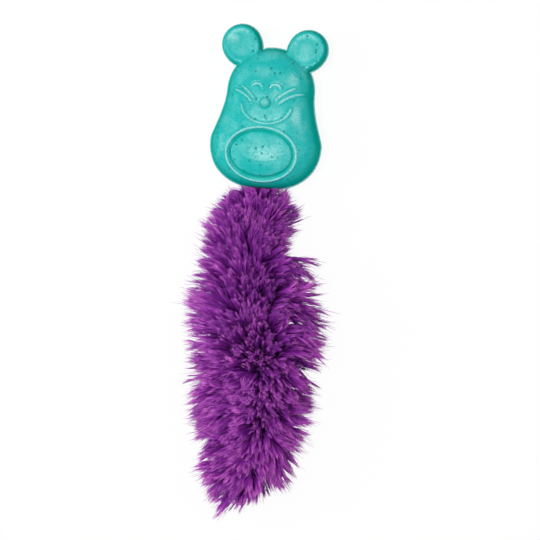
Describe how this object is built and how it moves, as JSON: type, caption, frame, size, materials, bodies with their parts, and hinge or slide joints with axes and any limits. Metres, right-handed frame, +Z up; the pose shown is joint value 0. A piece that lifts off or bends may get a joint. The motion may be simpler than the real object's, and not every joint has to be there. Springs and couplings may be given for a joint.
{
  "type": "catnip mouse",
  "caption": "Cat toy: a flat pear-shaped moulded rubber mouse with round ears and a raised smiling face, and a long shaggy fur tail that bends along its length.",
  "frame": {"origin": "the middle of the flat back that the mouse lies on", "axes": "+Z up out of the face, +Y towards the ears, so the tail runs to -Y, and +X to the right seen from above"},
  "size_m": [0.0609, 0.2324, 0.0281],
  "materials": {
    "teal_rubber": "satin",
    "white_plastic": "satin",
    "purple_webbing": "matte",
    "purple_thread": "matte",
    "purple_fur": "matte"
  },
  "bodies": {
    "mouse": {"front_shell": "teal_rubber", "back_shell": "teal_rubber", "anchor_pin": "white_plastic"},
    "tail_neck": {"tail_loop": "purple_webbing", "loop_bartack": "purple_thread", "fur_neck": "purple_fur", "seam_neck": "purple_thread"},
    "tail_upper": {"fur_upper": "purple_fur", "seam_upper": "purple_thread"},
    "tail_middle": {"fur_middle": "purple_fur", "seam_middle": "purple_thread"},
    "tail_tip": {"fur_tip": "purple_fur", "seam_tip": "purple_thread"}
  },
  "joints": [
    {"name": "neck_swing", "type": "hinge", "parent": "mouse", "child": "tail_neck", "pos_m": [0, -0.0257, 0.009], "axis": [1, 0, 0], "range_deg": [-8, 20]},
    {"name": "tail_sway", "type": "hinge", "parent": "tail_neck", "child": "tail_upper", "pos_m": [-0.00152, -0.0422, 0.009], "axis": [0, 0, 1], "range_deg": [-30, 30]},
    {"name": "tail_curl", "type": "hinge", "parent": "tail_upper", "child": "tail_middle", "pos_m": [0.00211, -0.0852, 0.014], "axis": [1, 0, 0], "range_deg": [-40, 40]},
    {"name": "tail_hook", "type": "hinge", "parent": "tail_middle", "child": "tail_tip", "pos_m": [0.00658, -0.1512, 0.012], "axis": [0, 0, 1], "range_deg": [-30, 30]}
  ]
}
